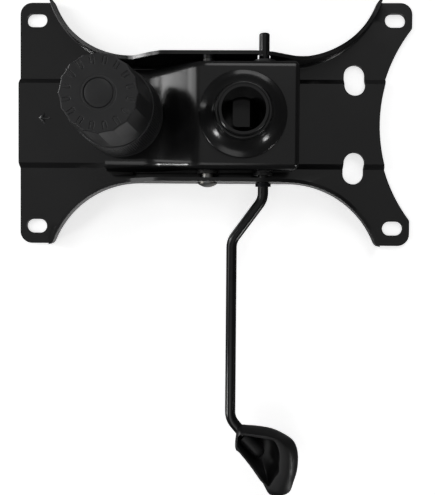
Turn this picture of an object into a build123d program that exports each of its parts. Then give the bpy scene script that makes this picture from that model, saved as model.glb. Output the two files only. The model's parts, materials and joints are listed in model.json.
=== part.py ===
from build123d import *
import math
import os

os.makedirs("parts", exist_ok=True)

# A tilt mechanism for an office chair, in millimetres. The origin is the centre of the four seat
# bolts on the face that the seat rests on. X points to the back of the chair, Y to the user's
# right, where the lever is, and Z up into the seat. A depth is a distance below the seat face.

# Main axes and levels
tension_x = -61.3
axle_x = -4.0
axle_depth = 22.0
hub_x = 19.5
rod_x = 34.3
rod_depth = 24.5
housing_front_depth = 22.0
housing_floor_depth = 42.0
tilt_limit = 12.0
lift_limit = 4.2

# Clearances
running_gap = 0.05
seat_gap = 0.1
free_gap = 0.3
slot_gap = 0.8
weld_gap = 0.02
overrun = 5.0

# Widths of the pressed parts, from the waist of the plate inwards
waist_half_width = 43.5
plate_sheet = 2.5
flange_gap = 5.0
housing_half_width = waist_half_width - plate_sheet - flange_gap
housing_sheet = 3.0
channel_inset = 8.1
channel_half_width = housing_half_width - channel_inset

# Seat plate
bolt_spacing_x = 260.0
bolt_spacing_y = 150.0
bolt_edge_x = 12.5
bolt_edge_y = 13.0
bolt_slot_length = 15.0
bolt_slot_width = 10.0
plate_length = bolt_spacing_x + 2 * bolt_edge_x
plate_width = bolt_spacing_y + 2 * bolt_edge_y
plate_bend = 1.8
ear_corner = 9.0
ear_tip_corner = 4.0
ear_side_length = 22.1
ear_end_width = 19.0
waist_radius = 67.4
waist_straight = plate_length - 2 * (waist_radius + ear_side_length)
rear_hollow = 23.5
rear_hollow_width = plate_width - 2 * ear_end_width
rear_slot_edge = 18.0
rear_slot_x = plate_length / 2 - rear_hollow - rear_slot_edge
rear_slot_spacing = 63.5
rear_slot_length = 22.5
rear_slot_width = 15.2
channel_slope = 3.7
channel_drop = 3.0
flange_below_rod = 11.5
flange_depth = rod_depth + flange_below_rod
# Lower edge of the side flanges, from the front ears to the rear ears: each row is a share of
# half the plate's length and a share of the flange depth.
flange_edge_shares = [
    (-1.0, 0.27), (-0.83, 0.28), (-0.73, 0.36), (-0.56, 0.5), (-0.4, 0.64), (-0.3, 0.9), (-0.25, 1.0),
    (0.2, 1.0), (0.28, 0.92), (0.39, 0.66), (0.46, 0.54), (0.62, 0.43), (0.7, 0.33), (0.79, 0.29),
    (1.0, 0.27),
]

# Axle between the seat plate and the housing
axle_diameter = 8.0
axle_head_diameter = 13.5
axle_head_rim = 1.0
axle_head_crown = 2.4
axle_tail_diameter = 10.5
axle_tail_height = 2.0
axle_tail_chamfer = 1.0
axle_tail_slope = 2.1
axle_washer_diameter = 15.0
axle_washer_sheet = 1.2
bush_wall = 1.5
bush_flange = 1.6
bush_flange_diameter = 15.0
bush_length = 10.0
sleeve_wall = 2.0

# Gas lift socket and its cone
socket_mouth_diameter = 28.0
socket_taper_angle = 1.432
socket_wall = 2.3
socket_reach = 18.0
socket_stand = 6.0
socket_chamfer = 0.7
socket_outer_diameter = socket_mouth_diameter + 2 * socket_wall
socket_mouth_depth = housing_floor_depth + socket_reach
socket_top_depth = housing_floor_depth - housing_sheet - socket_stand
cone_sheet = 2.2
cone_foot = 1.6
cone_neck_wall = 2.4
cone_neck_slope = 2.8
cone_skirt_slope = 7.5
cone_waist_height = 8.5
cone_height = 14.5
cone_rim = 2.0
cone_neck_diameter = socket_outer_diameter + 2 * cone_neck_wall
cone_waist_diameter = cone_neck_diameter + 2 * cone_neck_slope
cone_base_diameter = cone_waist_diameter + 2 * cone_skirt_slope

# Spring
spring_wire = 4.5
spring_diameter = 32.0
spring_end_pitch = 5.2
spring_end_turns = 1.0
spring_turns = 7.0
spring_seat_rim = 2.0
spring_seat_diameter = spring_diameter + 2 * spring_seat_rim
spring_seat_sheet = 2.2
spring_seat_lip = 3.0
thrust_washer_rim = 1.0
thrust_washer_diameter = spring_diameter + 2 * thrust_washer_rim
thrust_washer_sheet = 2.5

# Tension bolt and knob
bolt_diameter = 10.0
bolt_pitch = 2.0
bolt_head_diameter = 24.0
bolt_head_height = 2.4
bolt_head_chamfer = 0.8
bolt_nut_width = 17.0
bolt_nut_height = 6.0
bolt_swing = 3.6
tension_travel = 8.0
knob_rim_gap = 16.5
knob_skirt_height = 28.5
knob_grip_height = 36.0
knob_floor = 19.0
knob_rim_depth = housing_front_depth + knob_rim_gap
knob_step_depth = knob_rim_depth + knob_skirt_height
knob_face_depth = knob_step_depth + knob_grip_height
knob_cup_depth = knob_face_depth - knob_floor
knob_rim_diameter = 56.0
knob_skirt_slope = 2.2
knob_step_ledge = 0.4
knob_grip_slope = 3.0
knob_step_diameter = knob_rim_diameter - 2 * knob_skirt_slope
knob_grip_diameter = knob_step_diameter - 2 * knob_step_ledge
knob_face_diameter = knob_grip_diameter - 2 * knob_grip_slope
knob_wall = 2.6
knob_cup_gap = 4.0
knob_cup_diameter = thrust_washer_diameter + 2 * knob_cup_gap
knob_rib_count = 56
knob_rib_height = 0.6
knob_flute_count = 12
knob_flute_radius = 9.0
knob_flute_drop = 1.1
knob_rim_band = 3.0
knob_nut_width = 16.0
knob_nut_height = 9.0
knob_nut_cover = 7.0
knob_nut_depth = knob_face_depth - knob_nut_cover - knob_nut_height
nut_engagement = 3.5
bolt_end_depth = knob_nut_depth + tension_travel + nut_engagement
cap_diameter = 15.6
cap_crown = 0.7
cap_seat = 2.4
cap_groove = 0.35

# Housing
housing_front_margin = 14.2
housing_front_x = tension_x - housing_front_margin
housing_slope_front_x = tension_x + spring_seat_diameter / 2 + free_gap
cone_front_margin = 1.5
cone_rear_margin = 8.5
housing_slope_rear_x = hub_x - cone_base_diameter / 2 - cone_front_margin
housing_rear_x = hub_x + cone_base_diameter / 2 + cone_rear_margin
housing_wall_depth = 7.0
housing_front_roll = 8.5
housing_floor_roll = 5.0
housing_rear_bend = 4.0

# Lever: the rod runs across the mechanism, turns out to the offset line and back into the paddle
rod_diameter = 7.2
lock_travel = 10.0
rod_tail = 4.5
rod_lead = 11.5
rod_far_y = -(waist_half_width + lock_travel + rod_tail)
rod_near_bend_y = waist_half_width + rod_lead
rod_offset = 21.3
rod_offset_run = 29.0
rod_offset_x = rod_x - rod_offset
rod_offset_y = rod_near_bend_y + rod_offset_run
rod_long_run = 123.5
rod_paddle_bend_y = rod_offset_y + rod_long_run
rod_end_step = 19.5
rod_end_run = 22.5
rod_end_x = rod_offset_x + rod_end_step
rod_end_y = rod_paddle_bend_y + rod_end_run
rod_bend_radius = 13.0
rod_slot_extra = 1.8
rocker_radius = 6.6
rocker_band = 3.4
rocker_length = 8.6
rocker_shank_diameter = 10.8
rocker_flange_diameter = 13.6
rocker_flange_sheet = 1.4
trunnion_diameter = 2.4
trunnion_length = 1.6
clip_diameter = 10.6
clip_sheet = 2.2
clip_chamfer = 0.5
guide_wall = 1.7
guide_flange = 2.2
guide_flange_sheet = 1.5
tongue_sheet = 2.0
tongue_far_y = -16.0
tongue_near_y = 6.0
tongue_pad_front = 6.5
tongue_pad_rear = 5.1
tongue_pad_lift = 4.5
tongue_weld_front = 3.3
tongue_weld_rear = 4.2
tongue_corner = 3.0
tongue_pad_front_x = hub_x - tongue_pad_front
tongue_pad_rear_x = hub_x + tongue_pad_rear
tongue_pad_depth = socket_top_depth - tongue_pad_lift
tongue_weld_front_x = rod_x - tongue_weld_front
tongue_weld_rear_x = rod_x + tongue_weld_rear

# Paddle: a box round the end of the rod, and outlines as shares of that box, which begin at the
# neck and go round by the back, the tip and the front
paddle_width = 42.0
paddle_length = 45.1
paddle_front_reach = 14.5
paddle_cover = 18.5
paddle_x = rod_end_x - paddle_front_reach
paddle_y = rod_end_y - paddle_cover
paddle_back_shares = [(0.0, 0.0), (0.548, 0.038), (0.893, 0.18)]
paddle_side_shares = [(0.893, 0.18), (1.0, 0.543), (0.857, 0.96)]
paddle_front_shares = [(0.857, 0.96), (0.714, 1.0), (0.536, 1.0), (0.214, 0.665), (-0.036, 0.288), (0.0, 0.0)]
hollow_shares = [
    (0.09, 0.09), (0.3, 0.12), (0.56, 0.17), (0.64, 0.25), (0.685, 0.42), (0.68, 0.58), (0.64, 0.73),
    (0.57, 0.82), (0.5, 0.87), (0.27, 0.63), (0.03, 0.28),
]
hollow_top_share = 0.7
hollow_corner = 1.4
paddle_corner = 6.0
paddle_rim_depth = 36.0
paddle_crown_depth = 14.0
paddle_draft_angle = 9.0
paddle_crown = 4.0
paddle_wall = 4.0
boss_wall = 2.4
boss_lead = 13.7

# Rubber stops
front_pad_length = 16.0
front_pad_inset = 1.5
front_pad_overlap = 4.0
front_pad_x = housing_front_x + front_pad_length / 2 + front_pad_inset
rear_pad_overlap = 4.0
rear_pad_height = 2.0
rear_pad_inset = 12.0
rear_pad_half_width = housing_half_width - rear_pad_inset
pad_wall = 1.4
pad_chamfer = 1.1

# A depth plane's normal is straight up; the side plane's Y is the depth and its normal is the
# object's own Y axis.
side_plane = Plane(origin=(0, 0, 0), x_dir=(1, 0, 0), z_dir=(0, 1, 0))
axle_axis = Axis((axle_x, 0, -axle_depth), (0, 1, 0))
rod_swing_radius = math.hypot(rod_x - axle_x, rod_depth - axle_depth)
rod_rest_angle = math.degrees(math.atan2(rod_depth - axle_depth, rod_x - axle_x))
flange_inner = waist_half_width - plate_sheet
housing_inner = housing_half_width - housing_sheet
channel_underside = plate_sheet + channel_drop
rocker_y = housing_half_width - housing_sheet / 2
rod_slot_width = rod_diameter + 2 * slot_gap


def down(depth):
    """Plane at a depth below the seat face, with the object's own X and Y."""
    return Plane.XY.offset(-depth)


def across(distance):
    """Plane of X and depth at a distance along Y."""
    return side_plane.offset(distance)


def dome_middle(radius, rise):
    """Height of a spherical dome half-way out to its edge."""
    sphere = (radius ** 2 + rise ** 2) / (2 * rise)
    return math.sqrt(sphere ** 2 - radius ** 2 / 4) - (sphere - rise)


# Seat plate: the outline, with its flanges as deep as the middle, hollowed from below. The ring
# left along the two waists is the flange, and its lower edge follows the shares.
with BuildPart() as plate_hollow:
    with BuildSketch(down(plate_sheet)):
        Rectangle(plate_length + 2 * overrun, plate_width + 2 * overrun)
        for side in (1, -1):
            with Locations((0, side * (waist_half_width + waist_radius))):
                SlotCenterToCenter(waist_straight, 2 * (waist_radius + plate_sheet), mode=Mode.SUBTRACT)
    extrude(amount=-(flange_depth + overrun))
    inner_bends = plate_hollow.edges().filter_by_position(
        Axis.Z, -plate_sheet - weld_gap, -plate_sheet + weld_gap
    ).filter_by(lambda edge: abs(edge.center().Y) < plate_width / 2)
    fillet(inner_bends, plate_bend)
    with BuildSketch(Plane.YZ.offset(-plate_length)) as channel_boss:
        slope_shift = plate_sheet * math.tan(math.atan2(channel_drop, channel_slope) / 2)
        boss_half = channel_half_width + slope_shift
        with BuildLine():
            Polyline(
                (-boss_half - channel_slope, -plate_sheet + overrun),
                (-boss_half - channel_slope, -plate_sheet),
                (-boss_half, -channel_underside),
                (boss_half, -channel_underside),
                (boss_half + channel_slope, -plate_sheet),
                (boss_half + channel_slope, -plate_sheet + overrun),
                close=True,
            )
        make_face()
    extrude(amount=2 * plate_length, mode=Mode.SUBTRACT)

with BuildPart() as seat_plate:
    with BuildSketch() as plate_outline:
        Rectangle(plate_length, plate_width)
        for side in (1, -1):
            with Locations((0, side * (waist_half_width + waist_radius))):
                SlotCenterToCenter(waist_straight, 2 * waist_radius, mode=Mode.SUBTRACT)
        hollow_radius = ((rear_hollow_width / 2) ** 2 + rear_hollow ** 2) / (2 * rear_hollow)
        with Locations((plate_length / 2 - rear_hollow + hollow_radius, 0)):
            Circle(hollow_radius, mode=Mode.SUBTRACT)
        outer_corners = plate_outline.vertices().filter_by(
            lambda v: abs(v.X) > plate_length / 2 - weld_gap and abs(v.Y) > plate_width / 2 - weld_gap
        )
        fillet(outer_corners, ear_corner)
        tip_corners = plate_outline.vertices().filter_by(
            lambda v: abs(v.Y) > plate_width / 2 - weld_gap and abs(v.X) < plate_length / 2 - 2 * ear_corner
        )
        fillet(tip_corners, ear_tip_corner)
        hollow_corners = plate_outline.vertices().filter_by(
            lambda v: v.X > plate_length / 2 - weld_gap and abs(v.Y) < rear_hollow_width / 2 + weld_gap
        )
        fillet(hollow_corners, ear_tip_corner)
    extrude(amount=-flange_depth)
    outer_bends = seat_plate.edges().filter_by_position(Axis.Z, -weld_gap, weld_gap).filter_by(
        lambda edge: abs(edge.center().X) < bolt_spacing_x / 2 - ear_corner
        and abs(edge.center().Y) < bolt_spacing_y / 2 + ear_tip_corner
    )
    fillet(outer_bends, plate_bend + plate_sheet)
    add(plate_hollow.part, mode=Mode.SUBTRACT)
    # The channel is pressed down, so its groove shows from above.
    with BuildSketch(Plane.YZ.offset(-plate_length)):
        with BuildLine():
            Polyline(
                (-channel_half_width - channel_slope, overrun),
                (-channel_half_width - channel_slope, 0),
                (-channel_half_width, -channel_drop),
                (channel_half_width, -channel_drop),
                (channel_half_width + channel_slope, 0),
                (channel_half_width + channel_slope, overrun),
                close=True,
            )
        make_face()
    extrude(amount=2 * plate_length, mode=Mode.SUBTRACT)
    # Lower edge of the flanges
    with BuildSketch(across(-plate_width)):
        with BuildLine():
            edge_points = [(x * plate_length / 2, d * flange_depth) for x, d in flange_edge_shares]
            Polyline((-plate_length / 2, -overrun), *edge_points, (plate_length / 2, -overrun), close=True)
        make_face()
    extrude(amount=2 * plate_width, mode=Mode.INTERSECT)
    # Slots of the ears and the pair behind the channel
    with BuildSketch(Plane.XY.offset(overrun)):
        with GridLocations(bolt_spacing_x, bolt_spacing_y, 2, 2):
            SlotOverall(bolt_slot_length, bolt_slot_width)
        with Locations((rear_slot_x, 0)):
            with GridLocations(0, rear_slot_spacing, 1, 2):
                SlotOverall(rear_slot_length, rear_slot_width, rotation=90)
        with Locations((tension_x, 0)):
            Circle(bolt_diameter / 2 + seat_gap)
    extrude(amount=-(channel_underside + 2 * overrun), mode=Mode.SUBTRACT)
    # Axle holes, and the curved slots in which the lever rod swings as the seat tilts
    with BuildSketch(across(-plate_width)):
        with Locations((axle_x, axle_depth)):
            Circle(axle_diameter / 2 + weld_gap)
    extrude(amount=2 * plate_width, mode=Mode.SUBTRACT)
    lift_drop = 2 * flange_inner * math.tan(math.radians(lift_limit))
    for side, extra_drop in ((1, rod_slot_extra), (-1, lift_drop)):
        drop_angle = math.degrees(extra_drop / rod_swing_radius)
        with BuildSketch(across(side * waist_half_width + (overrun if side > 0 else -overrun))):
            SlotArc(
                CenterArc(
                    (axle_x, axle_depth), rod_swing_radius,
                    rod_rest_angle - tilt_limit, tilt_limit + drop_angle,
                ),
                rod_slot_width,
            )
        extrude(amount=-side * (plate_sheet + 2 * overrun), mode=Mode.SUBTRACT)
seat_plate.part.label = "seat_plate"
export_step(seat_plate.part, "parts/seat_plate.step")

# Axle pin: shank, domed head outside the near flange and peened tail outside the far one
axle_start = waist_half_width + axle_washer_sheet
axle_tail_end = axle_start + axle_tail_height
axle_head_start = -waist_half_width
axle_rim_end = axle_head_start - axle_head_rim
with BuildPart() as axle_pin:
    with BuildSketch(Plane(origin=(axle_x, 0, -axle_depth), x_dir=(1, 0, 0), z_dir=(0, 0, -1))):
        shank = axle_diameter / 2
        head = axle_head_diameter / 2
        tail = axle_tail_diameter / 2
        with BuildLine():
            Polyline(
                (0, axle_tail_end), (tail - axle_tail_slope, axle_tail_end),
                (tail, axle_tail_end - axle_tail_chamfer), (tail, axle_start), (shank, axle_start),
                (shank, axle_head_start), (head, axle_head_start), (head, axle_rim_end),
            )
            ThreePointArc(
                (head, axle_rim_end),
                (head / 2, axle_rim_end - dome_middle(head, axle_head_crown)),
                (0, axle_rim_end - axle_head_crown),
            )
            Line((0, axle_rim_end - axle_head_crown), (0, axle_tail_end))
        make_face()
    revolve(axis=axle_axis)
axle_pin.part.label = "axle_pin"
export_step(axle_pin.part, "parts/axle_pin.step")


def tube_along_y(name, x, depth, rings):
    """Rings about an axis along Y: each is an inner diameter, an outer diameter and two places."""
    with BuildPart() as piece:
        for inner, outer, start, end in rings:
            with BuildSketch(across(start)):
                with Locations((x, depth)):
                    Circle(outer / 2)
            extrude(amount=end - start)
        for inner, outer, start, end in rings:
            with BuildSketch(across(start)):
                with Locations((x, depth)):
                    Circle(inner / 2)
            extrude(amount=end - start, mode=Mode.SUBTRACT)
    piece.part.label = name
    return piece.part


export_step(
    tube_along_y("axle_washer", axle_x, axle_depth, [
        (axle_diameter + 2 * seat_gap, axle_washer_diameter, -axle_start, -waist_half_width),
    ]),
    "parts/axle_washer.step",
)

# Bushes in the housing walls, and the sleeve between them
bush_bore = axle_diameter + 2 * running_gap
bush_outer = bush_bore + 2 * bush_wall
bush_rings = []
for side in (1, -1):
    spans = sorted((side * (housing_half_width - bush_length), side * housing_half_width))
    flange_span = sorted((side * housing_half_width, side * (housing_half_width + bush_flange)))
    bush_rings.append((bush_bore, bush_outer, *spans))
    bush_rings.append((bush_bore, bush_flange_diameter, *flange_span))
export_step(tube_along_y("axle_bushes", axle_x, axle_depth, bush_rings), "parts/axle_bushes.step")
sleeve_bore = bush_outer + 2 * weld_gap
export_step(
    tube_along_y("axle_sleeve", axle_x, axle_depth, [
        (sleeve_bore, sleeve_bore + 2 * sleeve_wall, -housing_inner, housing_inner),
    ]),
    "parts/axle_sleeve.step",
)


def trough_section(x, inset):
    """Rounded section of the housing at a place along X, drawn in by the inset."""
    sloped = (x - housing_slope_front_x) / (housing_slope_rear_x - housing_slope_front_x)
    share = min(max(sloped, 0), 1)
    depth = housing_front_depth + share * (housing_floor_depth - housing_front_depth) - inset
    roll = housing_front_roll + share * (housing_floor_roll - housing_front_roll) - inset
    half = housing_half_width - inset
    with BuildSketch(Plane.YZ.offset(x)) as section:
        with Locations((0, -depth / 2)):
            Rectangle(2 * half, depth)
        fillet(section.vertices().group_by(Axis.Y)[0], roll)
    return section.sketch


def trough(stations, inset, rear_bend):
    """The solid between the sections at the stations, with its rear end rounded."""
    with BuildPart() as body:
        for front, rear in zip(stations[:-1], stations[1:]):
            loft([trough_section(front, inset), trough_section(rear, inset)], ruled=True)
        end_edges = body.faces().sort_by(Axis.X)[-1].edges().filter_by(
            lambda edge: edge.center().Z < -weld_gap
        )
        fillet(end_edges, rear_bend)
    return body.part


bends = (housing_slope_front_x, housing_slope_rear_x)
outer_trough = trough((housing_front_x, *bends, housing_rear_x), 0, housing_rear_bend)
inner_trough = trough(
    (housing_front_x - overrun, *bends, housing_rear_x - housing_sheet),
    housing_sheet, housing_rear_bend - housing_sheet,
)
rear_wall_depth = housing_wall_depth + (housing_rear_x - axle_x) * math.tan(math.radians(tilt_limit)) + slot_gap
rocker_hole = rocker_radius + running_gap
guide_drop = 2 * rocker_y * math.tan(math.radians(lift_limit))
with BuildPart() as housing:
    add(outer_trough)
    add(inner_trough, mode=Mode.SUBTRACT)
    # Top edges: level in front of the axle, falling behind it so that the seat can tilt
    with BuildSketch(across(-housing_half_width - overrun)):
        with BuildLine():
            Polyline(
                (housing_front_x - overrun, -overrun), (housing_front_x - overrun, housing_wall_depth),
                (axle_x, housing_wall_depth),
                (housing_rear_x - housing_sheet - pad_wall, rear_wall_depth),
                (housing_rear_x + overrun, rear_wall_depth), (housing_rear_x + overrun, -overrun),
                close=True,
            )
        make_face()
    extrude(amount=2 * (housing_half_width + overrun), mode=Mode.SUBTRACT)
    # Holes of the hub and the tension bolt, seen from below
    with BuildSketch(down(0)):
        with Locations((hub_x, 0)):
            Circle(socket_outer_diameter / 2 + weld_gap)
        with Locations((tension_x, 0)):
            Circle(bolt_diameter / 2 + bolt_swing)
    extrude(amount=-(housing_floor_depth + overrun), mode=Mode.SUBTRACT)
    # Bearing holes, and the slot of the lever rod in the far wall
    with BuildSketch(across(-housing_half_width - overrun)):
        with Locations((axle_x, axle_depth)):
            Circle(bush_outer / 2 + weld_gap)
    extrude(amount=2 * (housing_half_width + overrun), mode=Mode.SUBTRACT)
    with BuildSketch(across(0)):
        with Locations((rod_x, rod_depth)):
            Circle(rocker_hole)
            Rectangle(2 * (rocker_hole + trunnion_length), trunnion_diameter + 2 * running_gap)
    extrude(amount=housing_half_width + overrun, mode=Mode.SUBTRACT)
    with BuildSketch(across(0)):
        with Locations((rod_x, rod_depth + guide_drop / 2)):
            SlotCenterToCenter(guide_drop, rod_slot_width + 2 * guide_wall, rotation=90)
    extrude(amount=-(housing_half_width + overrun), mode=Mode.SUBTRACT)
housing.part.label = "housing"
export_step(housing.part, "parts/housing.step")

# Slotted guide in the far wall
with BuildPart() as far_guide:
    for width, start, end in (
        (rod_slot_width + 2 * guide_wall - 2 * weld_gap, -housing_inner, -housing_half_width),
        (rod_slot_width + 2 * (guide_wall + guide_flange), -housing_half_width,
         -housing_half_width - guide_flange_sheet),
    ):
        with BuildSketch(across(start)):
            with Locations((rod_x, rod_depth + guide_drop / 2)):
                SlotCenterToCenter(guide_drop, width, rotation=90)
        extrude(amount=end - start)
    with BuildSketch(across(0)):
        with Locations((rod_x, rod_depth + guide_drop / 2)):
            SlotCenterToCenter(guide_drop, rod_slot_width, rotation=90)
    extrude(amount=-(housing_half_width + overrun), mode=Mode.SUBTRACT)
far_guide.part.label = "far_guide"
export_step(far_guide.part, "parts/far_guide.step")

# Gas lift socket: a tube with a tapered bore, welded in the floor
hub_profile = Plane(origin=(hub_x, 0, 0), x_dir=(1, 0, 0), z_dir=(0, -1, 0))
socket_length = socket_mouth_depth - socket_top_depth
socket_mouth = socket_mouth_diameter / 2
socket_top = socket_mouth - socket_length * math.tan(math.radians(socket_taper_angle))
socket_outer = socket_outer_diameter / 2
with BuildPart() as gas_lift_socket:
    with BuildSketch(hub_profile):
        with BuildLine():
            Polyline(
                (socket_top, -socket_top_depth), (socket_outer, -socket_top_depth),
                (socket_outer, -socket_mouth_depth + socket_chamfer),
                (socket_outer - socket_chamfer, -socket_mouth_depth), (socket_mouth, -socket_mouth_depth),
                close=True,
            )
        make_face()
    revolve(axis=Axis((hub_x, 0, 0), (0, 0, 1)))
gas_lift_socket.part.label = "gas_lift_socket"
export_step(gas_lift_socket.part, "parts/gas_lift_socket.step")

# Hub cone: a pressed collar that stands on the floor and closes round the socket
with BuildPart() as hub_cone:
    with BuildSketch(hub_profile) as cone_section:
        floor = -housing_floor_depth
        base = cone_base_diameter / 2
        waist = cone_waist_diameter / 2
        neck = cone_neck_diameter / 2
        with BuildLine():
            Line((base, floor), (base, floor - cone_foot))
            ThreePointArc(
                (base, floor - cone_foot),
                ((base + waist) / 2 + cone_sheet / 2, floor - (cone_foot + cone_waist_height) / 2 - cone_sheet / 2),
                (waist, floor - cone_waist_height),
            )
            Line((waist, floor - cone_waist_height), (neck, floor - cone_height + cone_rim))
            Line((neck, floor - cone_height + cone_rim), (neck, floor - cone_height))
            Line((neck, floor - cone_height), (socket_outer + weld_gap, floor - cone_height))
            Polyline(
                (socket_outer + weld_gap, floor - cone_height),
                (socket_outer + weld_gap, floor - cone_height + cone_rim),
                (waist - cone_sheet, floor - cone_waist_height + cone_sheet),
                (base - cone_sheet, floor - cone_foot + cone_sheet / 2), (base - cone_sheet, floor),
                (base, floor),
            )
        make_face()
    revolve(axis=Axis((hub_x, 0, 0), (0, 0, 1)))
hub_cone.part.label = "hub_cone"
export_step(hub_cone.part, "parts/hub_cone.step")

# Tension bolt: a low head in the channel, the shank and its end inside the knob
with BuildPart() as tension_bolt:
    with BuildSketch(down(channel_drop)):
        with Locations((tension_x, 0)):
            Circle(bolt_head_diameter / 2)
    extrude(amount=bolt_head_height)
    chamfer(tension_bolt.faces().sort_by(Axis.Z)[-1].edges(), bolt_head_chamfer)
    with BuildSketch(down(channel_drop)):
        with Locations((tension_x, 0)):
            Circle(bolt_diameter / 2)
    extrude(amount=-(bolt_end_depth - channel_drop))
    chamfer(tension_bolt.faces().sort_by(Axis.Z)[0].edges(), bolt_pitch / 2)
tension_bolt.part.label = "tension_bolt"
export_step(tension_bolt.part, "parts/tension_bolt.step")


def hex_nut(name, top_depth, width, height):
    """A nut on the tension bolt with its upper face at the given depth."""
    with BuildPart() as nut:
        with BuildSketch(down(top_depth)):
            with Locations((tension_x, 0)):
                RegularPolygon(width / 2, 6, major_radius=False)
                Circle(bolt_diameter / 2 + running_gap, mode=Mode.SUBTRACT)
        extrude(amount=-height)
    nut.part.label = name
    return nut.part


export_step(hex_nut("bolt_nut", channel_underside, bolt_nut_width, bolt_nut_height), "parts/bolt_nut.step")
export_step(hex_nut("knob_nut", knob_nut_depth, knob_nut_width, knob_nut_height), "parts/knob_nut.step")

# Spring seat under the front floor, with a lip that centres the spring
spring_inner = spring_diameter - 2 * spring_wire
with BuildPart() as spring_seat:
    with BuildSketch(down(housing_front_depth)):
        with Locations((tension_x, 0)):
            Circle(spring_seat_diameter / 2)
    extrude(amount=-spring_seat_sheet)
    with BuildSketch(down(housing_front_depth)):
        with Locations((tension_x, 0)):
            Circle(spring_inner / 2 - free_gap)
    extrude(amount=-(spring_seat_sheet + spring_seat_lip))
    with BuildSketch(down(housing_front_depth)):
        with Locations((tension_x, 0)):
            Circle(bolt_diameter / 2 + bolt_swing)
    extrude(amount=-(spring_seat_sheet + spring_seat_lip), mode=Mode.SUBTRACT)
spring_seat.part.label = "spring_seat"
export_step(spring_seat.part, "parts/spring_seat.step")

# Thrust washer on the knob's inner floor
with BuildPart() as thrust_washer:
    with BuildSketch(down(knob_cup_depth - thrust_washer_sheet - seat_gap)):
        with Locations((tension_x, 0)):
            Circle(thrust_washer_diameter / 2)
            Circle(bolt_diameter / 2 + free_gap, mode=Mode.SUBTRACT)
    extrude(amount=-thrust_washer_sheet)
thrust_washer.part.label = "thrust_washer"
export_step(thrust_washer.part, "parts/thrust_washer.step")

# Main spring: a helix of tangent arcs, closer at its two ends
spring_top = housing_front_depth + spring_seat_sheet + spring_wire / 2 + seat_gap
spring_bottom = knob_cup_depth - thrust_washer_sheet - seat_gap - spring_wire / 2 - seat_gap
spring_radius = (spring_diameter - spring_wire) / 2
open_turns = spring_turns - 2 * spring_end_turns
open_pitch = (spring_bottom - spring_top - 2 * spring_end_turns * spring_end_pitch) / open_turns


def spring_pitch(turn):
    """Pitch of the spring after so many turns, blended over half a turn at each end."""
    nearest_end = min(turn, spring_turns - turn)
    share = min(max((nearest_end - spring_end_turns / 2) / spring_end_turns, 0), 1)
    return spring_end_pitch + share * (open_pitch - spring_end_pitch)


def spring_depth(turn):
    """Depth of the wire's centre after so many turns: the sum of the pitch up to there."""
    steps = 40
    return spring_top + sum(spring_pitch(turn * (i + 0.5) / steps) for i in range(steps)) * turn / steps


def spring_point(turn):
    """Centre of the wire after so many turns."""
    angle = 2 * math.pi * turn
    return Vector(
        tension_x + spring_radius * math.cos(angle), spring_radius * math.sin(angle), -spring_depth(turn)
    )


def spring_tangent(turn):
    """Direction of the wire after so many turns."""
    angle = 2 * math.pi * turn
    climb = -spring_pitch(turn) / (2 * math.pi)
    return Vector(-spring_radius * math.sin(angle), spring_radius * math.cos(angle), climb).normalized()


def biarc_joint(start, start_direction, end, end_direction):
    """Middle point and direction of the two tangent arcs between two points of the wire."""
    chord = end - start
    both = start_direction + end_direction
    along = chord.dot(both)
    spread = 2 * (1 - start_direction.dot(end_direction))
    reach = (-along + math.sqrt(along ** 2 + spread * chord.dot(chord))) / spread
    first = start + start_direction * reach
    second = end - end_direction * reach
    return (first + second) * 0.5, (second - first).normalized()


half_turns = int(round(2 * spring_turns))
with BuildPart() as main_spring:
    with BuildLine() as spring_path:
        for i in range(half_turns):
            start, end = spring_point(i / 2), spring_point((i + 1) / 2)
            start_way, end_way = spring_tangent(i / 2), spring_tangent((i + 1) / 2)
            middle, middle_way = biarc_joint(start, start_way, end, end_way)
            TangentArc(start, middle, tangent=start_way)
            TangentArc(middle, end, tangent=middle_way)
    with BuildSketch(Plane(origin=spring_point(0), z_dir=spring_tangent(0))):
        Circle(spring_wire / 2)
    sweep(path=spring_path.wires()[0])
main_spring.part.label = "main_spring"
export_step(main_spring.part, "parts/main_spring.step")
coil_gaps = [spring_depth((i + 4) / 4) - spring_depth(i / 4) - spring_wire for i in range(2 * half_turns - 3)]
wire_length = spring_path.wires()[0].length
wire_volume = math.pi * spring_wire ** 2 / 4 * wire_length
print("main spring: least gap to itself", round(min(coil_gaps), 2))
print("main spring: wire length", round(wire_length, 1))
print("main spring: volume over wire volume", round(main_spring.part.volume / wire_volume, 4))


def ribbed_section(depth, radius):
    """Section of the knob's lower tier: a circle with fine triangular ribs."""
    points = []
    for i in range(2 * knob_rib_count):
        angle = math.pi * i / knob_rib_count
        reach = radius - (knob_rib_height if i % 2 else 0)
        points.append((tension_x + reach * math.cos(angle), reach * math.sin(angle)))
    with BuildSketch(down(depth)) as section:
        with BuildLine():
            Polyline(*points, close=True)
        make_face()
    return section.sketch


def fluted_section(depth, radius):
    """Section of the knob's grip: a circle with shallow finger flutes."""
    with BuildSketch(down(depth)) as section:
        with Locations((tension_x, 0)):
            Circle(radius)
            with PolarLocations(radius + knob_flute_radius - knob_flute_drop, knob_flute_count):
                Circle(knob_flute_radius, mode=Mode.SUBTRACT)
    return section.sketch


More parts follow.
